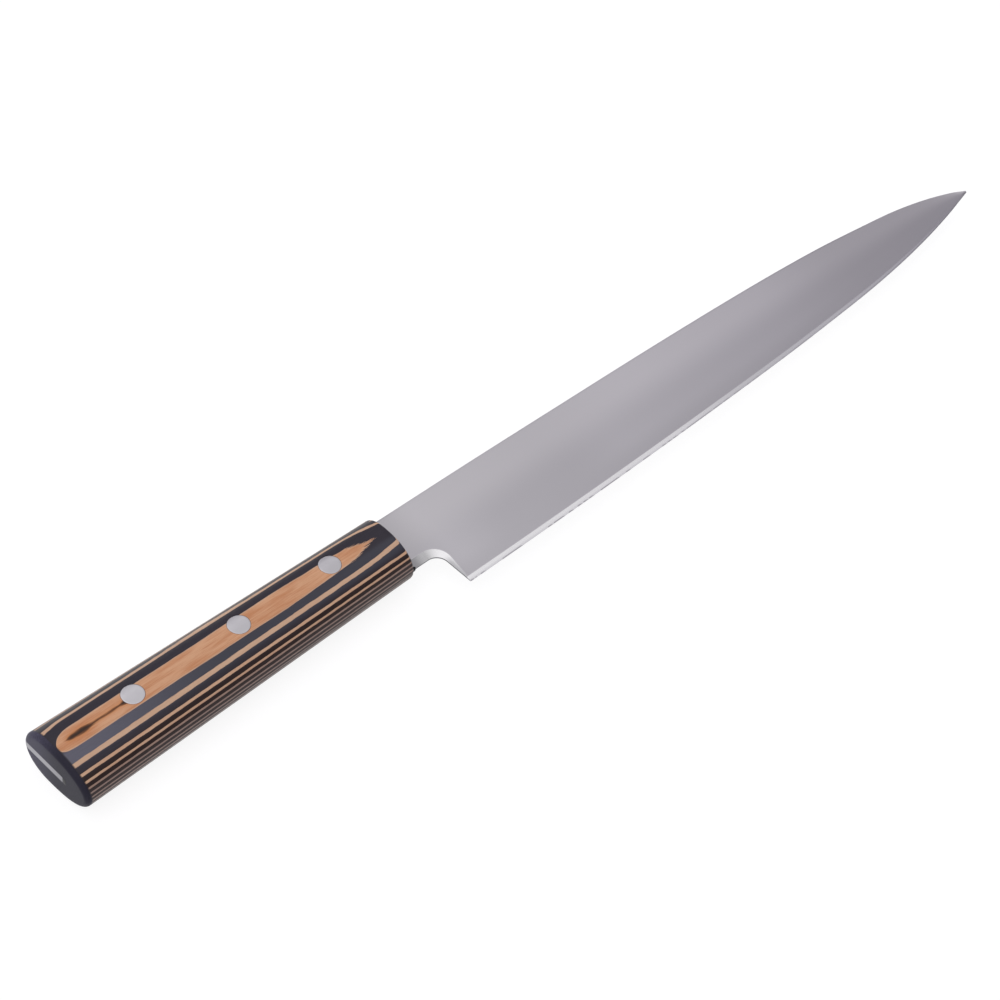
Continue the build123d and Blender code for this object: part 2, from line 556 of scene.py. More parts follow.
@dataclass(frozen=True)
class StainedLens:
    """The dark lens behind the rear rivet, where the wood of the right flank is stained through."""

    centre: float = -0.78
    swell_rise: Fade = Fade(4.8, 7.6)
    swell_fall: Fade = Fade(16.0, 10.5, 0.0, 0.72)
    line: Fade = Fade(7.0, 12.0, 0.0, 0.20)
    flare: Fade = Fade(23.6, 26.0, 0.0, 0.55)
    grain: Grain = Grain((2.6, 0.24, 0.5), 3.0, 3.3)
    grain_depth: float = 0.75
    rear_end: Fade = Fade(4.2, 6.0)
    front_end: Fade = Fade(27.0, 26.5)
    right_flank: Fade = Fade(0.0, 1.0)
    stains: tuple[tuple[Fade, Colour], ...] = (
        (Fade(1.5, 0.0, 0.0, 0.6), (0.56, 0.20, 0.055)),
        (Fade(0.42, -0.16), (0.13, 0.048, 0.015)),
        (Fade(-0.06, -0.62, 0.0, 0.85), (0.014, 0.006, 0.003)),
    )

    def colour(self, tree: Tree, spot: Spot, wood: Value) -> Value:
        """Stain the wood: an orange halo, then brown, then near black, by the distance past the border.

        The lens's half width is a broad rear part, a thin line and a flare at the rivet, and grain frays it.

        Args:
            tree: the material's tree.
            spot: the shaded point.
            wood: the plain wood's colour.

        Returns:
            The wood's colour with the lens in it.
        """
        x = spot.x
        width = self.swell_rise.of(x) * self.swell_fall.of(x) + self.line.of(x) + self.flare.of(x)
        past = abs(spot.y - self.centre + self.grain.of(spot) * self.grain_depth) - width
        inside = self.rear_end.of(x) * self.front_end.of(x) * self.right_flank.of(spot.z)
        for fade, tone in self.stains:
            wood = tree.mix(fade.of(past) * inside, wood, opaque(tone))
        return wood


@dataclass(frozen=True)
class TanWood:
    """Tan veneer: orange-tan with streaks along the grain, cream at its borders and painted darker near the
    slot, a painted shade.
    """

    drift: Grain = Grain((16, 2.2, 4), 3.0, 2.2)
    drift_share: float = 1.7
    streak: Grain = Grain((7, 0.28, 0.6), 4.0, 5.5)
    streak_share: float = 1.2
    fleck: Grain = Grain((1.2, 0.16, 0.3), 2.0, 9.1)
    deep: Colour = (0.53, 0.225, 0.098)
    pale: Colour = (0.66, 0.365, 0.205)
    from_deep_to_pale: Fade = Fade(0.1, 0.9)
    light_fleck: Colour = (0.70, 0.46, 0.30)
    light_flecks: Fade = Fade(0.10, 0.30, 0.0, 0.35)
    outer: Colour = (0.52, 0.37, 0.27)
    outer_share: float = 0.3
    dark_fleck: Colour = (0.36, 0.15, 0.07)
    dark_flecks: Fade = Fade(-0.10, -0.32, 0.0, 0.45)
    cream: Colour = (0.60, 0.42, 0.285)
    # Painted shade: the tan is darkened low on the flank, near the middle plane, where the light is dimmer
    # and the thin stripes wash out.
    painted_dim_tone: Colour = (0.235, 0.165, 0.145)
    near_slot: Fade = Fade(5.6, 3.2, 0.0, 0.9)

    def colour(self, tree: Tree, spot: Spot, border: Value, outer: Value) -> Value:
        """Mix the veneer's colours.

        Args:
            tree: the material's tree.
            spot: the shaded point.
            border: one at the veneer's border.
            outer: one in the outermost stripe, which is the palest.

        Returns:
            The colour.
        """
        fleck = self.fleck.of(spot)
        blend = self.streak.of(spot) * self.streak_share + (self.drift.of(spot) * self.drift_share + 0.5)
        wood = tree.mix(self.from_deep_to_pale.of(blend), opaque(self.deep), opaque(self.pale))
        wood = tree.mix(self.light_flecks.of(fleck), wood, opaque(self.light_fleck))
        wood = tree.mix(outer * self.outer_share, wood, opaque(self.outer))
        wood = tree.mix(self.dark_flecks.of(fleck), wood, opaque(self.dark_fleck))
        wood = tree.mix(border, wood, opaque(self.cream))
        # Painted shade low on the flank, near the slot.
        return tree.mix(self.near_slot.of(spot.flank), wood, opaque(self.painted_dim_tone))


@dataclass(frozen=True)
class DarkWood:
    """Dark veneer: brown-black, blue-black high on the flank, partly a painted sheen, and painted paler below
    the oval, a painted sheen.
    """

    streak: Grain = Grain((9, 0.35, 0.7), 3.0, 6.4)
    brown_black: Colour = (0.021, 0.010, 0.008)
    # Partly the veneer's own tint, partly a painted sheen: the flank's crown is painted blue-black.
    blue_black_and_sheen: Colour = (0.024, 0.020, 0.029)
    high_on_flank: Fade = Fade(5.6, 7.2)
    near_slot_tone: Colour = (0.050, 0.033, 0.031)
    near_slot: Fade = Fade(4.0, 1.5, 0.0, 0.4)
    below_oval: Fade = Fade(-2.5, -4.5)
    above_stripes: Fade = Fade(-9.6, -7.6)
    # Painted sheen: the band below the oval is painted paler, most towards the butt, for the light that it
    # reflects.
    front_painted_sheen: Colour = (0.042, 0.042, 0.056)
    rear_painted_sheen: Colour = (0.108, 0.107, 0.138)
    towards_butt: Fade = Fade(64.0, 0.0)
    dusty: Colour = (0.056, 0.050, 0.060)
    streaks: Fade = Fade(0.0, 0.35, 0.0, 0.3)

    def colour(self, tree: Tree, spot: Spot) -> Value:
        """Mix the veneer's colours.

        Args:
            tree: the material's tree.
            spot: the shaded point.

        Returns:
            The colour.
        """
        # Blue-black high on the flank: partly own tint, partly painted sheen.
        base = tree.mix(self.high_on_flank.of(spot.flank), opaque(self.brown_black), opaque(self.blue_black_and_sheen))
        base = tree.mix(self.near_slot.of(spot.flank), base, opaque(self.near_slot_tone))
        # Painted sheen below the oval, stronger towards the butt.
        tone = tree.mix(self.towards_butt.of(spot.x), opaque(self.front_painted_sheen), opaque(self.rear_painted_sheen))
        base = tree.mix(self.below_oval.of(spot.y) * self.above_stripes.of(spot.y), base, tone)
        return tree.mix(self.streaks.of(self.streak.of(spot)), base, opaque(self.dusty))


@dataclass(frozen=True)
class LaminateFinish:
    """Resin-filled veneers, tan and dark in turn, sanded through to show as stripes and one long oval."""

    tan: float = 0.47
    dark: float = 0.79
    blur: float = 0.05
    outermost_stripe: float = 6.0
    low_border: Fade = Fade(0.02, 0.09, 0.8, 0.0)
    high_border: Fade = Fade(0.37, 0.45, 0.0, 0.4)
    oval: OvalMask = OvalMask()
    bend: VeneerBend = VeneerBend()
    lens: StainedLens = StainedLens()
    tan_wood: TanWood = TanWood()
    dark_wood: DarkWood = DarkWood()
    butt_seam: Fade = Fade(2.2, 1.8, 0.0, 0.85)
    rivet_seam: Fade = Fade(3.52, 3.66, 0.7, 0.0)
    seam_tone: Colour = (0.02, 0.016, 0.018)
    pores: Grain = Grain((2.4, 0.10, 0.10), 2.0, 7.0)
    pore_depth: float = 0.006 * MM
    roughness: float = 0.36
    roughness_spread: float = 0.2
    gloss: float = 0.30

    def material(self, rivets: list[Vector]) -> bpy.types.Material:
        """Build the material.

        A stripe is found from its height in the stack: the height modulo one tan and one dark veneer tells
        which of the two shows. The outermost tan veneer is the long oval on each flank.

        Args:
            rivets: centres of the rivet heads.

        Returns:
            The material.
        """
        tree = Tree("laminate")
        spot = tree.spot()
        pitch = self.tan + self.dark
        turns = (self.bend.height(spot) + self.tan / 2) / pitch
        layer = tree.math("FLOOR", turns)
        level = tree.math("FRACT", turns) * pitch
        rising = Fade(0.0, self.blur).of(level)
        falling = Fade(self.tan - self.blur, self.tan, 1.0, 0.0).of(level)
        stripe = rising * falling * tree.math("LESS_THAN", layer, self.outermost_stripe + 0.5)
        oval, rim = self.oval.masks(spot)
        border = (self.low_border.of(level).at_least(self.high_border.of(level)) * stripe).at_least(rim)
        outer = tree.math("COMPARE", layer, self.outermost_stripe, 0.5) * (1.0 - oval)
        wood = self.lens.colour(tree, spot, self.tan_wood.colour(tree, spot, border, outer))
        body = tree.mix(stripe.at_least(oval), self.dark_wood.colour(tree, spot), wood)
        body = tree.mix(self.seams(spot, rivets), body, opaque(self.seam_tone))
        pores = self.pores.of(spot)
        return tree.finish(
            Base_Color=body,
            Roughness=pores * self.roughness_spread + self.roughness,
            Specular_IOR_Level=self.gloss,
            Normal=tree.bump(pores, self.pore_depth),
        )

    def seams(self, spot: Spot, rivets: list[Vector]) -> Value:
        """Find the thin seams at the butt cap and round each rivet head, where glue and dust sit.

        Args:
            spot: the shaded point.
            rivets: centres of the rivet heads.

        Returns:
            The share of seam.
        """
        seam = self.butt_seam.of(spot.x)
        for centre in rivets:
            away = ((spot.x - centre.x / MM) ** 2.0 + (spot.y - centre.y / MM) ** 2.0) ** 0.5
            seam = seam.at_least(self.rivet_seam.of(away))
        return seam


@dataclass(frozen=True)
class SealedFinish:
    """Dark sealed end grain or dark glue: smooth, faintly mottled, its tone falling to the belly side, a
    painted shade.
    """

    name: str
    tone: Colour
    roughness: float
    grain: float
    gloss: float = 0.5
    painted_belly_shade: float = 1.0
    pale_share: float = 1.5
    octaves: float = 4.0
    mottling: Fade = Fade(-0.2, 0.3)
    towards_belly: Fade = Fade(9.0, -5.0)
    roughness_spread: float = 0.2
    bump_depth: float = 0.008 * MM

    def material(self) -> bpy.types.Material:
        """Build the material.

        Returns:
            The material.
        """
        tree = Tree(self.name)
        spot = tree.spot()
        mottle = Grain((self.grain, self.grain, self.grain), self.octaves).of(spot)
        body = tree.mix(self.mottling.of(mottle), opaque(self.tone), opaque(self.tone, self.pale_share))
        # Painted shade: darker towards the belly side.
        body = tree.mix(self.towards_belly.of(spot.y), body, opaque(self.tone, self.painted_belly_shade))
        return tree.finish(
            Base_Color=body,
            Roughness=mottle * self.roughness_spread + self.roughness,
            Specular_IOR_Level=self.gloss,
            Normal=tree.bump(mottle, self.bump_depth),
        )


@dataclass(frozen=True)
class BladeFinish:
    """Satin ground steel: fine lines run from spine to edge, and the bevel and the choil are polished."""

    satin: Colour = (0.625, 0.612, 0.622)
    # Painted shade: the lower face is a darker copy of the satin, for the shade on it as it tilts towards the
    # edge.
    lower: Colour = (0.527, 0.516, 0.532)
    lower_face: Fade = Fade(0.20, 0.62)
    # Painted sheen: the faces are painted brighter over parts of their length, the lower one also near the
    # heel, fading off towards the bevel.
    upper_painted_sheen: float = 1.13
    upper_painted_sheen_rise: Fade = Fade(185.0, 245.0)
    upper_painted_sheen_fall: Fade = Fade(345.0, 295.0)
    lower_painted_sheen: float = 1.10
    lower_painted_sheen_rise: Fade = Fade(190.0, 220.0)
    lower_painted_sheen_fall: Fade = Fade(350.0, 290.0)
    heel_painted_sheen: Fade = Fade(165.0, 140.0)
    off_edge: Fade = Fade(0.95, 0.72)
    # Painted shade: the neck is painted darker near the handle.
    neck: Colour = (0.40, 0.39, 0.40)
    near_handle_painted_shade: Fade = Fade(143.0, 127.0, 0.0, 0.55)
    lines: Grain = Grain((0.22, 26, 4), 3.0, 1.7)
    line_share: float = 0.35
    cloud: Grain = Grain((24, 9, 9), 3.0, 5.1)
    cloud_share: float = 0.5
    brushed: Colour = (0.75, 0.75, 0.77)
    brushed_share: float = 0.08
    bevel: Fade = Fade(0.946, 0.952)
    # Painted highlight: the bevel is painted brighter than the steel, and fades to a dimmer tone towards the
    # tip.
    painted_bevel_highlight: Colour = (0.905, 0.905, 0.90)
    painted_dim_tone: Colour = (0.72, 0.72, 0.725)
    bevel_highlight_fades: Fade = Fade(225.0, 275.0)
    choil: Colour = (0.575, 0.575, 0.57)
    shaded: Colour = (0.33, 0.33, 0.335)
    choil_end_x: Fade = Fade(139.2, 137.2)
    choil_end_y: Fade = Fade(-14.0, -18.0)
    choil_start: Fade = Fade(132.5, 128.0)
    # Painted shade: the narrow wall along the choil is painted dark steel.
    wall: Colour = (0.13, 0.13, 0.14)
    roughness: float = 0.30
    roughness_spread: float = 0.06
    polished: float = 0.2
    line_depth: float = 0.0004 * MM

    def ground(self, tree: Tree, spot: Spot, fall: Value, lines: Value) -> Value:
        """Colour the two ground faces: the lower face is painted darker, a painted shade; each carries a
        painted sheen over part of its length; and the neck is painted darker near the handle, a painted
        shade.

        Args:
            tree: the material's tree.
            spot: the shaded point.
            fall: the share of the way from spine to edge.
            lines: noise drawn out from spine to edge.

        Returns:
            The colour.
        """
        x = spot.x
        # Painted sheen along the length of each face.
        upper_painted_sheen = self.upper_painted_sheen_rise.of(x) * self.upper_painted_sheen_fall.of(x)
        upper = tree.mix(upper_painted_sheen, opaque(self.satin), opaque(self.satin, self.upper_painted_sheen))
        lower_painted_sheen = (self.lower_painted_sheen_rise.of(x) * self.lower_painted_sheen_fall.of(x)).at_least(self.heel_painted_sheen.of(x))
        lower_painted_sheen = lower_painted_sheen * self.off_edge.of(fall)
        lower = tree.mix(lower_painted_sheen, opaque(self.lower), opaque(self.lower, self.lower_painted_sheen))
        # Painted shade on the lower face.
        body = tree.mix(self.lower_face.of(fall), upper, lower)
        # Painted shade on the neck beside the handle.
        body = tree.mix(self.near_handle_painted_shade.of(x), body, opaque(self.neck))
        brushed = lines * self.line_share + (self.cloud.of(spot) * self.cloud_share + 0.5)
        return tree.mix(brushed * self.brushed_share, body, opaque(self.brushed))

    def material(self) -> bpy.types.Material:
        """Build the material.

        The mesh carries three marks: "fall", the share of the way from spine to edge, "polish", which is one
        where the choil was polished, and "wall", which is one on the narrow wall along the choil.

        Returns:
            The material.
        """
        tree = Tree("blade_satin")
        spot = tree.spot()
        fall, polish, wall = (tree.mark(name) for name in ("fall", "polish", "wall"))
        lines = self.lines.of(spot)
        bevel = self.bevel.of(fall)
        # Painted highlight on the bevel, dimmer towards the tip.
        edge = tree.mix(self.bevel_highlight_fades.of(spot.x), opaque(self.painted_bevel_highlight), opaque(self.painted_dim_tone))
        body = tree.mix(bevel, self.ground(tree, spot, fall, lines), edge)
        choil_end = self.choil_end_x.of(spot.x) * self.choil_end_y.of(spot.y)
        shade = choil_end.at_least(self.choil_start.of(spot.x))
        body = tree.mix(polish, body, tree.mix(shade, opaque(self.choil), opaque(self.shaded)))
        # Painted shade on the choil's wall.
        body = tree.mix(wall, body, opaque(self.wall))
        shine = bevel.at_least(polish)
        plain = lines * self.roughness_spread + self.roughness
        return tree.finish(
            Base_Color=body,
            Metallic=1.0,
            Roughness=plain * (1.0 - shine) + shine * self.polished,
            Normal=tree.bump(lines, self.line_depth),
        )


@dataclass(frozen=True)
class SandedSteelFinish:
    """Steel that was sanded together with the handle: fine lines lie along it, and the tone falls along Y, a
    painted shade.
    """

    name: str
    tone: Colour
    roughness: float
    painted_shade_share: float
    painted_shade_fade: Fade = Fade(2.0, -3.0)
    pale_share: float = 1.15
    lines: Grain = Grain((9, 0.09, 0.09), 3.0, 2.9)
    cloud: Grain = Grain((2.2, 1.6, 1.6), 2.0, 6.6)
    clouding: Fade = Fade(-0.3, 0.3, 0.0, 0.5)
    roughness_spread: float = 0.2
    line_depth: float = 0.002 * MM

    def material(self) -> bpy.types.Material:
        """Build the material.

        Returns:
            The material.
        """
        tree = Tree(self.name)
        spot = tree.spot()
        lines = self.lines.of(spot)
        clouding = self.clouding.of(self.cloud.of(spot))
        body = tree.mix(clouding, opaque(self.tone), opaque(self.tone, self.pale_share))
        # Painted shade: darker towards low Y.
        body = tree.mix(self.painted_shade_fade.of(spot.y), body, opaque(self.tone, self.painted_shade_share))
        return tree.finish(
            Base_Color=body,
            Metallic=1.0,
            Roughness=lines * self.roughness_spread + self.roughness,
            Normal=tree.bump(lines, self.line_depth),
        )


@dataclass
class HandleShape:
    """The handle's oval: egg-shaped in section, tapering to the front, its ends rounded over."""

    cap_box: Box
    core_box: Box
    butt_spine_side: float = 12.2 * MM
    butt_belly_side: float = 16.2 * MM
    front_spine_side: float = 9.5 * MM
    front_belly_side: float = 13.3 * MM
    crown: float = 0.8 * MM
    power: float = 2.37
    butt_rounding: float = 1.6 * MM
    front_rounding: float = 0.8 * MM
    skin_inset: float = 0.02 * MM

    @property
    def length(self) -> float:
        """Place of the front face."""
        return self.core_box[1].x

    @property
    def cap_end(self) -> float:
        """Place where the butt cap ends and the veneers begin."""
        return self.cap_box[1].x

    @property
    def half(self) -> float:
        """Half of the handle's thickness."""
        return self.cap_box[1].z - self.skin_inset

    def inset(self, x: np.ndarray) -> np.ndarray:
        """Find how far the surface lies inside the plain oval.

        At each end it is the end's radius less the root of the radius squared less the distance in squared,
        which is a quarter circle.

        Args:
            x: places along the handle.

        Returns:
            The insets.
        """
        rear = np.clip(self.butt_rounding - x, 0, self.butt_rounding)
        front = np.clip(x - self.length + self.front_rounding, 0, self.front_rounding)
        rear_inset = self.butt_rounding - np.sqrt(self.butt_rounding**2 - rear**2)
        return rear_inset + self.front_rounding - np.sqrt(self.front_rounding**2 - front**2)

    def sides(self, x: np.ndarray) -> tuple[np.ndarray, np.ndarray, np.ndarray]:
        """Find the oval's size: it goes evenly from the butt's to the front's, less the inset.

        Args:
            x: places along the handle.

        Returns:
            Reach from the crown line to the spine side, reach to the belly side, and half thickness.
        """
        share = x / self.length
        inset = self.inset(x)
        spine = lerp(self.butt_spine_side, self.front_spine_side, share) - self.crown - inset
        belly = lerp(self.butt_belly_side, self.front_belly_side, share) + self.crown - inset
        return spine, belly, self.half - inset

    def ring(self, x: np.ndarray, angle: np.ndarray) -> np.ndarray:
        """Find points of the oval: Y goes as the sine to the power 2/p and Z as the cosine.

        Args:
            x: places along the handle.
            angle: angles round it, zero at the right flank's crown.

        Returns:
            The points.
        """
        spine, belly, half = self.sides(x)
        sine = np.sin(angle)
        reach = np.where(sine > 0, spine, belly)
        y = self.crown + np.sign(sine) * reach * np.abs(sine) ** (2 / self.power)
        return np.stack(np.broadcast_arrays(x, y, half * np.cos(angle)), -1)

    def height(self, x: np.ndarray, y: np.ndarray) -> np.ndarray:
        """Find the flank's height: half the thickness times the root of one less the share of reach.

        Args:
            x: places along the handle.
            y: places across it.

        Returns:
            The heights above the middle plane.
        """
        spine, belly, half = self.sides(x)
        share = np.abs(y - self.crown) / np.where(y > self.crown, spine, belly)
        return half * np.sqrt(np.clip(1 - share**self.power, 0, 1))

    def top(self, x: np.ndarray, z: np.ndarray) -> np.ndarray:
        """Y of the spine side at a height Z: the oval's equation solved for Y."""
        spine, _, half = self.sides(x)
        return self.crown + spine * np.clip(1 - (z / half) ** 2, 0, 1) ** (1 / self.power)


@dataclass
class Handle:
    """The handle's veneered block and its sealed butt."""

    shape: HandleShape
    laminate: LaminateFinish = LaminateFinish()
    sealed: SealedFinish = SealedFinish(
        "sealed_end", tone=(0.054, 0.051, 0.078), roughness=0.42, grain=0.5, gloss=0.08, painted_belly_shade=0.46
    )
    around: int = 240
    along: int = 64
    front_bend_steps: int = 8
    butt_bend_steps: int = 12
    disc_rings: int = 6

    def disc(self, x: float) -> np.ndarray:
        """Find the flat end: the oval's ring drawn in evenly to its middle.

        Args:
            x: the end's place.

        Returns:
            The rings of points.
        """
        angles = whole_turn(self.around)
        ring = self.shape.ring(np.full_like(angles, x), angles)
        middle = np.array([x, self.shape.crown, 0.0])
        share = np.linspace(1, 0, self.disc_rings + 1)[:, None, None]
        return middle + (ring - middle) * share

    def skin(self, stations: np.ndarray) -> np.ndarray:
        """The oval surface through the stations."""
        return self.shape.ring(stations[:, None], whole_turn(self.around)[None, :])

    def veneers(self) -> bpy.types.Object:
        """Make the veneered block: rings from the butt cap to the front, turned in there by a quarter circle.

        Returns:
            The block.
        """
        shape = self.shape
        bend = shape.length - shape.front_rounding
        plain = np.linspace(shape.cap_end, bend, self.along)
        turned = bend + shape.front_rounding * np.sin(quarter(self.front_bend_steps + 1))[1:]
        work = Patchwork("handle_veneers")
        work.add(self.skin(np.concatenate([plain, turned])))
        work.add(self.disc(shape.cap_end))
        work.add(self.disc(shape.length))
        return work.build()

    def butt_cap(self) -> bpy.types.Object:
        """Make the sealed butt: a quarter circle from the flat end to the flank, then a narrow rim.

        Returns:
            The butt.
        """
        shape = self.shape
        turned = shape.butt_rounding * (1 - np.cos(quarter(self.butt_bend_steps + 1)))
        work = Patchwork("sealed_butt")
        work.add(self.skin(np.append(turned, shape.cap_end)))
        work.add(self.disc(0.0))
        work.add(self.disc(shape.cap_end))
        return work.build()

    def build(self, rivets: list[Vector]) -> None:
        """Make and dress the block and the butt.

        Args:
            rivets: centres of the rivet heads, for the seams round them.
        """
        veneers = [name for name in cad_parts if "_veneer_" in name]
        place(self.veneers(), self.laminate.material(rivets), Slot.DARK, *veneers)
        place(self.butt_cap(), self.sealed.material(), Slot.BUTT, "butt_cap")


@dataclass
class TangEdge:
    """The edge of the tang that shows in the butt, along the spine side and in the front face."""

    shape: HandleShape
    # The tang's edge is painted darker towards its low end in the butt, a painted shadow beside the glue
    # plug.
    finish: SandedSteelFinish = SandedSteelFinish(
        "tang_satin", tone=(0.365, 0.36, 0.385), roughness=0.42, painted_shade_share=0.84, painted_shade_fade=Fade(4.0, -5.5)
    )
    half: float = 1.2 * MM
    butt_end: float = -5.3 * MM
    neck_top: float = 8.4 * MM
    proud: float = 0.02 * MM
    depth: float = 0.5 * MM
    ease: float = 0.06 * MM
    butt_steps: int = 14
    bend_steps: int = 8
    side_steps: int = 49
    front_steps: int = 4
    across_steps: int = 7

    def line(self) -> tuple[np.ndarray, np.ndarray]:
        """Find the tang's line along X: up the butt, round its rim, along the spine side and down the front.

        Returns:
            Places along X, and the angles of the outward directions, from zero at the butt to half a turn.
        """
        turn = quarter(self.bend_steps + 1)[1:]
        rim, nose = self.shape.butt_rounding, self.shape.front_rounding
        bend = self.shape.length - nose
        x = np.concatenate([
            np.zeros(self.butt_steps),
            rim * (1 - np.cos(turn)),
            np.linspace(rim, bend, self.side_steps + 1)[1:],
            bend + nose * np.sin(turn),
            np.full(self.front_steps, self.shape.length),
        ])
        tilt = np.concatenate([
            np.zeros(self.butt_steps),
            turn,
            np.full(self.side_steps, turn[-1]),
            turn[-1] + turn,
            np.full(self.front_steps, 2 * turn[-1]),
        ])
        return x, tilt

    def path(self, z: np.ndarray) -> tuple[np.ndarray, np.ndarray]:
        """Carry heights along the tang's line, on the oval's surface and straight down both ends.

        Args:
            z: heights across the tang's edge.

        Returns:
            Points and outward directions, as places along the line by heights by 3.
        """
        x, tilt = self.line()
        x, z = np.broadcast_arrays(x[:, None], z[None, :])
        y = self.shape.top(x, z)
        butt_top, front_top = y[self.butt_steps - 1], y[-self.front_steps - 1]
        butt_share = np.linspace(0, 1, self.butt_steps)[:, None]
        y[: self.butt_steps] = self.butt_end + (butt_top - self.butt_end) * butt_share
        front_share = np.linspace(0, 1, self.front_steps + 1)[1:, None]
        y[-self.front_steps :] = front_top + (self.neck_top - front_top) * front_share
        out = np.stack([-np.cos(tilt), np.sin(tilt), np.zeros_like(tilt)], -1)[:, None, :]
        return np.stack([x, y, z], -1), np.broadcast_to(out, (*z.shape, 3))

    def band(self) -> bpy.types.Object:
        """Make the edge: a flat band, eased at its sides, carried along the line and sunk in the block.

        Returns:
            The band.
        """
        flat = np.linspace(self.ease - self.half, self.half - self.ease, self.across_steps)
        z = np.concatenate([[-self.half, -self.half], flat, [self.half, self.half, -self.half]])
        eased, sunk = self.proud - self.ease, -self.depth
        lift = np.concatenate([[sunk, eased], np.full(self.across_steps, self.proud), [eased, sunk, sunk]])
        points, out = self.path(z)
        band = points + out * lift[None, :, None]
        work = Patchwork("tang_edge")
        work.add(band)
        for end in (band[0], band[-1]):
            middle = end.mean(0)
            work.add(np.stack([end, np.broadcast_to(middle, end.shape)]))
        return work.build()

    def build(self) -> None:
        """Make and dress the edge."""
        place(self.band(), self.finish.material(), Slot.BLADE)


@dataclass
class Glue:
    """Dark glue beside the tang: a plug in the end of the slot at the butt, and a bead under the neck."""

    shape: HandleShape
    finish: SealedFinish = SealedFinish(
        "dark_glue", tone=(0.006, 0.006, 0.008), roughness=0.30, grain=0.5, gloss=0.15
    )
    plug_half: float = 1.2 * MM
    plug_top: float = -5.3 * MM
    plug_low: float = -6.8 * MM
    plug_depth: float = 0.5 * MM
    plug_shares: tuple[float, ...] = (1.0, 1.0, 0.96, 0.9, 0.0)
    plug_lifts: tuple[float, ...] = (0.0, 0.0, 0.5, 1.0, 1.0)
    plug_proud: float = 0.02 * MM
    plug_power: float = 0.35
    bead_radii: tuple[float, float, float] = (0.9 * MM, 0.55 * MM, 1.0 * MM)
    bead_ahead: float = 0.25 * MM
    bead_y: float = -12.5 * MM
    bead_z: float = 0.2 * MM
    plug_around: int = 32
    bead_around: int = 24
    bead_rings: int = 14

    def plug(self) -> bpy.types.Object:
        """Make the plug: rounded oblongs, sine and cosine to a small power, from its depth to its eased face.

        Returns:
            The plug.
        """
        share = np.array(self.plug_shares)[:, None]
        x = -self.plug_proud * np.array(self.plug_lifts)[:, None]
        x[0] = self.plug_depth
        turn = whole_turn(self.plug_around)[None, :]
        across = np.sign(np.sin(turn)) * np.abs(np.sin(turn)) ** self.plug_power
        up = np.sign(np.cos(turn)) * np.abs(np.cos(turn)) ** self.plug_power
        middle, half_long = (self.plug_top + self.plug_low) / 2, (self.plug_top - self.plug_low) / 2
        grid = np.stack(
            np.broadcast_arrays(x, middle + half_long * share * across, self.plug_half * share * up), -1
        )
        work = Patchwork("slot_glue")
        work.add(grid)
        work.add(np.stack([grid[0], np.broadcast_to([self.plug_depth, middle, 0], grid[0].shape)]))
        return work.build()

    def bead(self) -> bpy.types.Object:
        """Make the bead: a small egg, its three radii times the sines and cosines of a sphere.

        Returns:
            The bead, cut into by the handle's front face.
        """
        up = np.linspace(0, math.pi, self.bead_rings + 1)[:, None]
        turn = whole_turn(self.bead_around)[None, :]
        unit = np.stack([np.sin(up) * np.cos(turn), np.cos(up) + 0 * turn, np.sin(up) * np.sin(turn)], -1)
        middle = np.array([self.shape.length + self.bead_ahead, self.bead_y, self.bead_z])
        work = Patchwork("neck_glue")
        work.add(middle + np.array(self.bead_radii) * unit)
        return work.build()

    def build(self) -> None:
        """Make and dress the plug and the bead."""
        finish = self.finish.material()
        place(self.plug(), finish, Slot.GLUE, "slot_filler")
        place(self.bead(), finish, Slot.GLUE)


@dataclass
class Rivet:
    """One cutler's rivet: two heads ground flush with the flanks and a hair proud of them."""

    shape: HandleShape
    name: str
    proud: float = 0.02 * MM
    ease: float = 0.10 * MM
    depth: float = 0.6 * MM
    flat_rings: int = 12
    ease_rings: int = 4
    around: int = 96

    @property
    def centre(self) -> Vector:
        """Centre of the head, from its CAD box."""
        low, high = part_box(f"rivet_pin_{self.name}")
        return (low + high) / 2

    @property
    def radius(self) -> float:
        """Radius of the head, from its CAD box."""
        low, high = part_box(f"rivet_pin_{self.name}")
        return (high.x - low.x) / 2

    def head(self, side: Side) -> bpy.types.Object:
        """Make a head: rings that follow the flank, turned down at the rim and closed below.

        The rim drops by a quarter circle of the ease, then straight down by the depth.

        Args:
            side: the flank that it lies in.

        Returns:
            The head.
        """
        centre, radius = self.centre, self.radius
        turn = quarter(self.ease_rings + 1)[1:]
        flat = np.linspace(0, radius - self.ease, self.flat_rings)
        rings = np.concatenate([flat, radius - self.ease + self.ease * np.sin(turn), [radius, 0.0]])
        drop = np.concatenate([
            np.zeros(self.flat_rings), self.ease * (1 - np.cos(turn)), [self.depth, self.depth],
        ])
        angle = whole_turn(self.around)[None, :]
        x = centre.x + rings[:, None] * np.cos(angle)
        y = centre.y + rings[:, None] * np.sin(angle)
        z = self.shape.height(x, y) + self.proud - drop[:, None]
        z[-1] = z[-2].mean()
        work = Patchwork(f"rivet_head_{self.name}_{side.name.lower()}")
        work.add(np.stack([x, y, side.value * z], -1))
        return work.build()

    def build(self, finish: bpy.types.Material) -> None:
        """Make both heads and dress them in the finish."""
        place(self.head(Side.RIGHT), finish, Slot.RIVET, f"rivet_pin_{self.name}")
        place(self.head(Side.LEFT), finish, Slot.RIVET, f"rivet_tube_{self.name}")


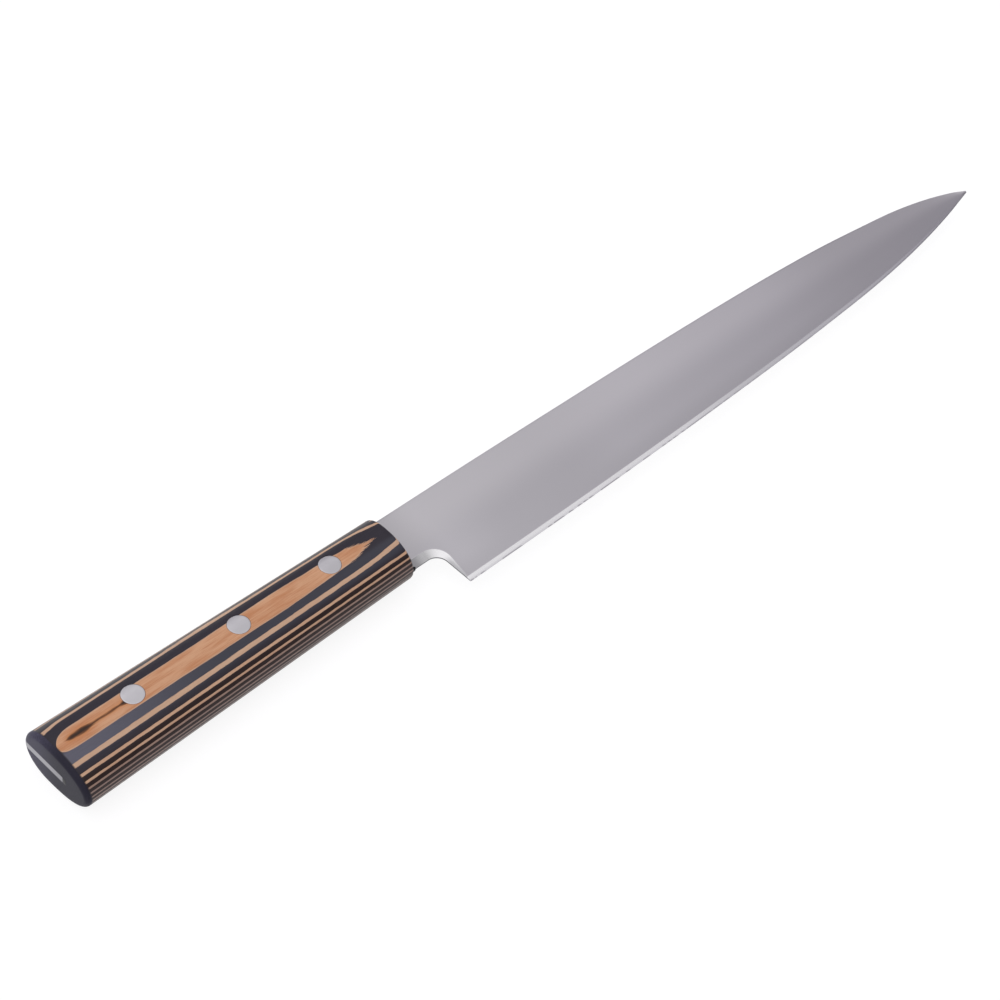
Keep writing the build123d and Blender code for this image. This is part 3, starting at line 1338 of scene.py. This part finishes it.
@dataclass
class BladeShape:
    """The blade's outline and section, flat on the left and ground on the right."""

    blade_box: Box
    handle_front: float
    neck_length: float = 11.0 * MM
    neck_depth: float = 12.1 * MM
    spine_height: float = 8.5 * MM
    heel_depth: float = 26.5 * MM
    tip_depth: float = 10.4 * MM
    tip_height: float = 0.5 * MM
    spine_thickness: float = 2.2 * MM
    tip_thickness: float = 0.7 * MM
    arch_radius: float = 4.0 * MM
    relief_level: float = -0.64 * MM
    relief_slope: float = 0.35
    relief_softness: float = 0.04 * MM
    spine_ease: float = 0.10 * MM
    ease_fade_length: float = 40.0 * MM
    last_ease_share: float = 0.25
    ridge_share: float = 0.52
    ridge_thickness_share: float = 0.66
    ridge_softness_share: float = 0.02
    bevel_share: float = 0.052
    bevel_thickness_share: float = 0.26
    last_bevel_share: float = 0.021
    last_thickness_share: float = 0.165
    station_shares: tuple[float, ...] = (
        0.0, 0.15, 0.30, 0.45, 0.58, 0.68, 0.76, 0.83, 0.89, 0.94, 0.98, 1.0,
    )
    spine_fall_shares: tuple[float, ...] = (
        0.0, 0.007, 0.033, 0.066, 0.116, 0.178, 0.258, 0.369, 0.485, 0.651, 0.852, 1.0,
    )
    edge_rise_shares: tuple[float, ...] = (
        0.0, 0.003, 0.028, 0.079, 0.145, 0.230, 0.320, 0.447, 0.600, 0.764, 0.918, 1.0,
    )

    @property
    def heel(self) -> float:
        """Place of the heel's upright wall."""
        return self.handle_front + self.neck_length

    @property
    def tip(self) -> float:
        """Place of the tip."""
        return self.blade_box[1].x

    @property
    def left(self) -> float:
        """Height of the flat left face."""
        return -self.spine_thickness / 2

    def length_share(self, x: np.ndarray) -> np.ndarray:
        """Share of the way from the handle to the tip."""
        return np.clip((x - self.handle_front) / (self.tip - self.handle_front), 0, 1)

    def curve(self, x: np.ndarray, values: tuple[float, ...]) -> np.ndarray:
        """Follow a smooth curve through the values at the station shares.

        Between two stations it is the cubic that meets both values and has, at each, the slope between the
        neighbours on its two sides.

        Args:
            x: places along the blade.
            values: one value for each station.

        Returns:
            The curve's values.
        """
        stations, levels = np.array(self.station_shares), np.array(values)
        last = len(levels) - 1
        share = self.length_share(x)
        before = np.maximum(np.arange(last + 1) - 1, 0)
        after = np.minimum(np.arange(last + 1) + 1, last)
        slopes = (levels[after] - levels[before]) / (stations[after] - stations[before])
        i = np.clip(np.searchsorted(stations, share, side="right") - 1, 0, last - 1)
        step = stations[i + 1] - stations[i]
        t = (share - stations[i]) / step
        start = (1 + 2 * t) * (1 - t) ** 2 * levels[i] + t * (1 - t) ** 2 * step * slopes[i]
        return start + t**2 * (3 - 2 * t) * levels[i + 1] - t**2 * (1 - t) * step * slopes[i + 1]

    def spine(self, x: np.ndarray) -> np.ndarray:
        """Y of the spine."""
        fall = self.curve(x, self.spine_fall_shares)
        return self.spine_height - fall * (self.spine_height + self.tip_depth - self.tip_height / 2)

    def edge(self, x: np.ndarray) -> np.ndarray:
        """Y of the cutting edge, carried on straight behind the heel."""
        rise = self.curve(x, self.edge_rise_shares)
        return rise * (self.heel_depth - self.tip_depth - self.tip_height / 2) - self.heel_depth

    def thickness(self, x: np.ndarray) -> np.ndarray:
        """Thickness at the spine, which falls evenly from the handle to the tip."""
        return lerp(self.spine_thickness, self.tip_thickness, self.length_share(x))

    def fall(self, x: np.ndarray, y: np.ndarray) -> np.ndarray:
        """Share of the way from the spine to the edge."""
        return (self.spine(x) - y) / (self.spine(x) - self.edge(x))

    def section(self, fall: np.ndarray) -> np.ndarray:
        """Find the section: two gentle slopes with a soft ridge between, the bevel and its last steep facet.

        Each is a straight line by the share of the way from spine to edge.

        Args:
            fall: shares of the way from spine to edge.

        Returns:
            Shares of the spine's thickness.
        """
        ridge, bevel = self.ridge_thickness_share, self.bevel_thickness_share
        bevel_start, last_start = 1 - self.bevel_share, 1 - self.last_bevel_share
        upper = 1 - (1 - ridge) * fall / self.ridge_share
        lower = bevel + (ridge - bevel) / (bevel_start - self.ridge_share) * (bevel_start - fall)
        edge = np.interp(fall, (bevel_start, last_start, 1), (bevel, self.last_thickness_share, 0))
        return np.where(fall > bevel_start, edge, blend_min(upper, lower, self.ridge_softness_share))

    def choil_distance(self, x: np.ndarray, y: np.ndarray) -> np.ndarray:
        """Find how far points lie from the choil: the neck's edge, a quarter circle and the heel's wall.

        Args:
            x: places along the blade.
            y: places across it.

        Returns:
            The distances, zero or more.
        """
        centre_x, centre_y = self.heel - self.arch_radius, -self.neck_depth - self.arch_radius
        back, down = centre_x - x, centre_y - y
        round_part = np.hypot(x - centre_x, y - centre_y) - self.arch_radius
        away = np.where(back > 0, y + self.neck_depth, np.where(down > 0, x - self.heel, round_part))
        return np.maximum(away, 0)

    def spine_drop(self, x: np.ndarray, y: np.ndarray) -> np.ndarray:
        """Find the depth of the eased spine edge: a quarter circle whose radius falls off towards the tip.

        Args:
            x: places along the blade.
            y: places across it.

        Returns:
            The depths.
        """
        radius = self.spine_ease * np.clip((self.tip - x) / self.ease_fade_length, self.last_ease_share, 1)
        near = np.clip(radius - (self.spine(x) - y), 0, radius)
        return radius - np.sqrt(radius**2 - near**2)

    def right_face(self, x: np.ndarray, y: np.ndarray) -> tuple[np.ndarray, np.ndarray]:
        """Find the right face.

        The height is the section's, less a quarter circle at the spine's edge. Along the choil it is the
        smaller of that and a ramp that climbs from a fixed level by a fixed slope, with the corner between
        the two eased.

        Args:
            x: places along the blade.
            y: places across it.

        Returns:
            The heights, and one where the choil's ramp is the lower.
        """
        section = self.section(np.clip(self.fall(x, y), 0, 1))
        z = self.left + self.thickness(x) * section - self.spine_drop(x, y)
        ramp = self.relief_level + self.relief_slope * self.choil_distance(x, y)
        polish = step_up(-self.relief_softness / 2, self.relief_softness / 2, z - ramp)
        return blend_min(z, ramp, self.relief_softness), polish

    def left_face(self, x: np.ndarray, y: np.ndarray) -> np.ndarray:
        """Height of the left face: flat, with the spine's edge eased by the same quarter circle."""
        return self.left + self.spine_drop(x, y)


@dataclass
class Blade:
    """The blade in front of the handle, with its neck let into the handle's front face."""

    shape: BladeShape
    finish: BladeFinish = BladeFinish()
    let_in: float = 3.0 * MM
    choil_length: float = 3.0 * MM
    upper_share: float = 0.55
    wall_share: float = 0.86
    left_fall_limit: float = 0.3
    ease_rows: int = 6
    upper_rows: int = 23
    arch_rows: int = 39
    wall_rows: int = 33
    lower_rows: int = 6
    bevel_rows: int = 3
    neck_columns: int = 40
    arch_columns: int = 39
    choil_columns: int = 36
    blade_columns: int = 199
    wall_places: tuple[float, ...] = (0.0, 0.05, 0.5, 0.95, 1.0)
    wall_marks: tuple[int, ...] = (0, 1, 1, 1, 0)
    crease: float = 30.0

    def neck_low(self, x: np.ndarray) -> np.ndarray:
        """Find the lower outline behind the heel.

        It is the neck's straight edge, then a quarter circle down to the heel's wall.

        Args:
            x: places along the neck.

        Returns:
            Y of the outline.
        """
        shape = self.shape
        ahead = np.clip(x - shape.heel + shape.arch_radius, 0, shape.arch_radius)
        return -shape.neck_depth - shape.arch_radius + np.sqrt(shape.arch_radius**2 - ahead**2)

    def rows(self) -> tuple[np.ndarray, int]:
        """Choose the grid's rows, closer at the spine's edge, along the choil and on the bevel.

        Returns:
            Shares of the way from spine to edge, and the row that meets the end of the arch.
        """
        shape = self.shape
        spine, edge = float(shape.spine(np.array(shape.heel))), float(shape.edge(np.array(shape.heel)))
        arch_end = (spine + shape.neck_depth + shape.arch_radius) / (spine - edge)
        ease = shape.spine_ease * (1 - np.cos(quarter(self.ease_rows))) / (spine - edge)
        bevel, last = 1 - shape.bevel_share, 1 - shape.last_bevel_share
        upper = np.concatenate([
            ease,
            np.linspace(ease[-1], self.upper_share, self.upper_rows + 1)[1:],
            np.linspace(self.upper_share, arch_end, self.arch_rows + 1)[1:],
        ])
        lower = np.concatenate([
            np.linspace(arch_end, self.wall_share, self.wall_rows + 1)[1:],
            np.linspace(self.wall_share, bevel, self.lower_rows + 1)[1:],
            np.linspace(bevel, last, self.bevel_rows + 1)[1:],
            [(last + 1) / 2, 1],
        ])
        return np.concatenate([upper, lower]), len(upper) - 1

    def columns(self) -> tuple[np.ndarray, np.ndarray]:
        """Choose the grids' columns, closer along the arch and past the heel.

        Returns:
            Places along X behind the heel, and before it.
        """
        shape = self.shape
        bend, choil_end = shape.heel - shape.arch_radius, shape.heel + self.choil_length
        behind = np.concatenate([
            np.linspace(shape.handle_front - self.let_in, bend, self.neck_columns),
            bend + shape.arch_radius * np.sin(quarter(self.arch_columns + 1))[1:],
        ])
        ahead = np.concatenate([
            np.linspace(shape.heel, choil_end, self.choil_columns),
            np.linspace(choil_end, shape.tip, self.blade_columns + 1)[1:],
        ])
        return behind, ahead

    def faces(self, work: Patchwork, x: np.ndarray, y: np.ndarray) -> tuple[np.ndarray, np.ndarray]:
        """Add the right and the left face over a grid of points.

        Args:
            work: the surface under work.
            x: places along the blade, as rows by columns.
            y: places across it.

        Returns:
            The two faces: each point's place, then its marks for the fall and the polish.
        """
        shape = self.shape
        fall = shape.fall(x, y)
        z, polish = shape.right_face(x, y)
        right = np.stack([x, y, z, fall, polish], -1)
        left_z = np.minimum(shape.left_face(x, y), z)
        left = np.stack([x, y, left_z, np.minimum(fall, self.left_fall_limit), np.zeros_like(fall)], -1)
        for face in (right, left):
            work.add(face[..., :3], fall=face[..., 3], polish=face[..., 4])
        return right, left

    def wall(self, work: Patchwork, upper: np.ndarray, lower: np.ndarray, in_choil: bool) -> None:
        """Join two borders by a narrow wall, straight from one to the other.

        Args:
            work: the surface under work.
            upper: the right face's border, with its marks.
            lower: the left face's border, with its marks.
            in_choil: whether the wall lies along the choil, where it is marked.
        """
        strip = upper + (lower - upper) * np.array(self.wall_places)[:, None, None]
        mark = np.array(self.wall_marks)[:, None] * in_choil
        mark = np.broadcast_to(mark, strip.shape[:2])
        work.add(strip[..., :3], fall=strip[..., 3], polish=strip[..., 4], wall=mark)

    def build(self) -> None:
        """Make and dress the blade: two face grids, behind and before the heel, joined by narrow walls."""
        shape = self.shape
        work = Patchwork("blade")
        rows, meet = self.rows()
        behind, ahead = self.columns()
        spine, low = shape.spine(behind), self.neck_low(behind)
        low[-1] = spine[-1] - rows[meet] * (spine[-1] - shape.edge(behind)[-1])
        neck_rows = (rows[: meet + 1] / rows[meet])[:, None]
        neck_y = spine - neck_rows * (spine - low)
        neck_right, neck_left = self.faces(work, np.broadcast_to(behind, neck_y.shape), neck_y)
        y = shape.spine(ahead) - rows[:, None] * (shape.spine(ahead) - shape.edge(ahead))
        right, left = self.faces(work, np.broadcast_to(ahead, y.shape), y)
        self.wall(work, neck_right[0], neck_left[0], False)
        self.wall(work, right[0], left[0], False)
        self.wall(work, right[:, -1], left[:, -1], False)
        self.wall(work, right[meet:, 0], left[meet:, 0], True)
        self.wall(work, neck_right[meet], neck_left[meet], True)
        self.wall(work, neck_right[:, 0], neck_left[:, 0], False)
        place(work.build(self.crease), self.finish.material(), Slot.BLADE, "blade")


@dataclass
class Studio:
    """The pale floor, the soft light and the camera."""

    lowest: float
    floor_gap: float = 0.02 * MM
    floor_radius: float = 6.0
    floor_middle: float = 1.0
    cove_radius: float = 2.5
    cove_rings: int = 12
    floor_around: int = 96
    paper: Colour = (0.86, 0.86, 0.87)
    shadow_share: float = 0.22
    white_strength: float = 1.12
    light_axis: tuple[float, float, float] = (-0.30, 0.15, 1.0)
    light_stops: tuple[tuple[float, float], ...] = (
        (0.0, 0.20), (0.35, 0.24), (0.45, 0.33), (0.50, 0.44), (0.55, 0.60), (0.61, 0.72), (0.71, 0.76),
        (0.78, 0.92), (0.87, 1.20), (1.0, 1.50),
    )
    violet_below: tuple[float, float] = (0.45, 0.65)
    high_tint: Colour = (1.0, 0.985, 1.02)
    low_tint: Colour = (1.0, 0.94, 1.10)
    camera_place: tuple[float, float, float] = (-219.24 * MM, -330.37 * MM, 537.48 * MM)
    camera_right: tuple[float, float, float] = (0.70655, -0.70223, 0.08754)
    camera_down: tuple[float, float, float] = (-0.47490, -0.56222, -0.67703)
    lens: float = 85.0
    sensor: float = 36.0
    nearest: float = 10.0 * MM
    farthest: float = 100.0

    def floor_paper(self) -> bpy.types.Material:
        """Build the floor's material: white to the camera and to gloss, with a share of shaded paper.

        Returns:
            The material.
        """
        tree = Tree("floor_paper")
        path = tree.nodes.new("ShaderNodeLightPath")
        camera, gloss, glass = (
            Value(tree, path.outputs[f"Is {name} Ray"]) for name in ("Camera", "Glossy", "Transmission")
        )
        seen = camera.at_least(gloss).at_least(glass)
        paper = tree.nodes.new("ShaderNodeBsdfDiffuse")
        paper.inputs["Color"].default_value = opaque(self.paper)
        white = tree.nodes.new("ShaderNodeEmission")
        white.inputs["Strength"].default_value = self.white_strength
        blend = tree.nodes.new("ShaderNodeMixShader")
        output = tree.nodes.new("ShaderNodeOutputMaterial")
        tree.put(blend.inputs[0], seen * (1 - self.shadow_share))
        tree.links.new(paper.outputs[0], blend.inputs[1])
        tree.links.new(white.outputs[0], blend.inputs[2])
        tree.links.new(blend.outputs[0], output.inputs["Surface"])
        return tree.material

    def floor(self) -> None:
        """Lay a pale floor that keeps a soft shadow.

        It is a wide disc whose rim rises in a quarter circle, so that low views end in white too.
        """
        bend = quarter(self.cove_rings + 1)
        rings = np.concatenate([
            [0.0, self.floor_middle], self.floor_radius + self.cove_radius * np.sin(bend),
        ])[:, None]
        rise = np.concatenate([[0.0, 0.0], self.cove_radius * (1 - np.cos(bend))])[:, None]
        turn = whole_turn(self.floor_around)[None, :]
        height = self.lowest - self.floor_gap + rise
        points = np.broadcast_arrays(rings * np.cos(turn), rings * np.sin(turn), height)
        work = Patchwork("floor")
        work.add(np.stack(points, -1))
        thing = work.build()
        thing.data.materials.append(self.floor_paper())

    def sky(self) -> None:
        """Hang a wide soft light overhead.

        Its strength goes by the direction's dot product with an axis that leans a little to the butt and the
        spine side, and its low part is faintly violet.
        """
        world = bpy.data.worlds.new("soft_sky")
        world.use_nodes = True
        bpy.context.scene.world = world
        nodes, links = world.node_tree.nodes, world.node_tree.links
        nodes.clear()
        coordinates = nodes.new("ShaderNodeTexCoord")
        along = nodes.new("ShaderNodeVectorMath")
        along.operation = "DOT_PRODUCT"
        along.inputs[1].default_value = self.light_axis
        ramp = nodes.new("ShaderNodeValToRGB")
        background = nodes.new("ShaderNodeBackground")
        output = nodes.new("ShaderNodeOutputWorld")
        links.new(coordinates.outputs["Generated"], along.inputs[0])
        links.new(along.outputs["Value"], ramp.inputs[0])
        ramp.color_ramp.interpolation = "LINEAR"
        while len(ramp.color_ramp.elements) < len(self.light_stops):
            ramp.color_ramp.elements.new(0.5)
        brightest = self.light_stops[-1][1]
        for element, (where, level) in zip(ramp.color_ramp.elements, self.light_stops):
            element.position = where
            high = step_up(*self.violet_below, np.array(where))
            tint = lerp(np.array(self.low_tint), np.array(self.high_tint), high)
            element.color = (*(tint * level / brightest), 1)
        links.new(ramp.outputs[0], background.inputs["Color"])
        background.inputs["Strength"].default_value = brightest
        links.new(background.outputs[0], output.inputs["Surface"])

    def camera(self) -> None:
        """Set up the camera at the photograph's viewing angle, its axes made square to each other."""
        data = bpy.data.cameras.new("camera")
        data.lens = self.lens
        data.sensor_width = self.sensor
        data.sensor_fit = "HORIZONTAL"
        data.clip_start = self.nearest
        data.clip_end = self.farthest
        thing = bpy.data.objects.new("camera", data)
        right = Vector(self.camera_right).normalized()
        down = Vector(self.camera_down)
        down = (down - down.dot(right) * right).normalized()
        back = right.cross(-down)
        rotation = Matrix((right, -down, back)).transposed().to_4x4()
        thing.matrix_world = Matrix.Translation(self.camera_place) @ rotation
        bpy.context.scene.collection.objects.link(thing)
        bpy.context.scene.camera = thing

    def build(self) -> None:
        """Set the stage."""
        self.floor()
        self.sky()
        self.camera()
        bpy.context.scene.view_settings.view_transform = "Standard"


def main() -> None:
    """Build the knife's pieces in order, then the studio."""
    logging.basicConfig(level=logging.INFO, format="%(name)s: %(message)s")
    shape = HandleShape(cap_box=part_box("butt_cap"), core_box=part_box("tan_veneer_core"))
    rivets = [Rivet(shape, name) for name in ("rear", "middle", "front")]
    Handle(shape).build([rivet.centre for rivet in rivets])
    TangEdge(shape).build()
    Glue(shape).build()
    # The rivet heads are painted darker towards the belly side, a painted shade.
    satin = SandedSteelFinish("rivet_satin", tone=(0.605, 0.595, 0.61), roughness=0.34, painted_shade_share=0.86).material()
    for rivet in rivets:
        rivet.build(satin)
    Blade(BladeShape(blade_box=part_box("blade"), handle_front=shape.length)).build()
    Studio(lowest=CAD_BOX[0].z).build()


if __name__ == "__main__":
    main()
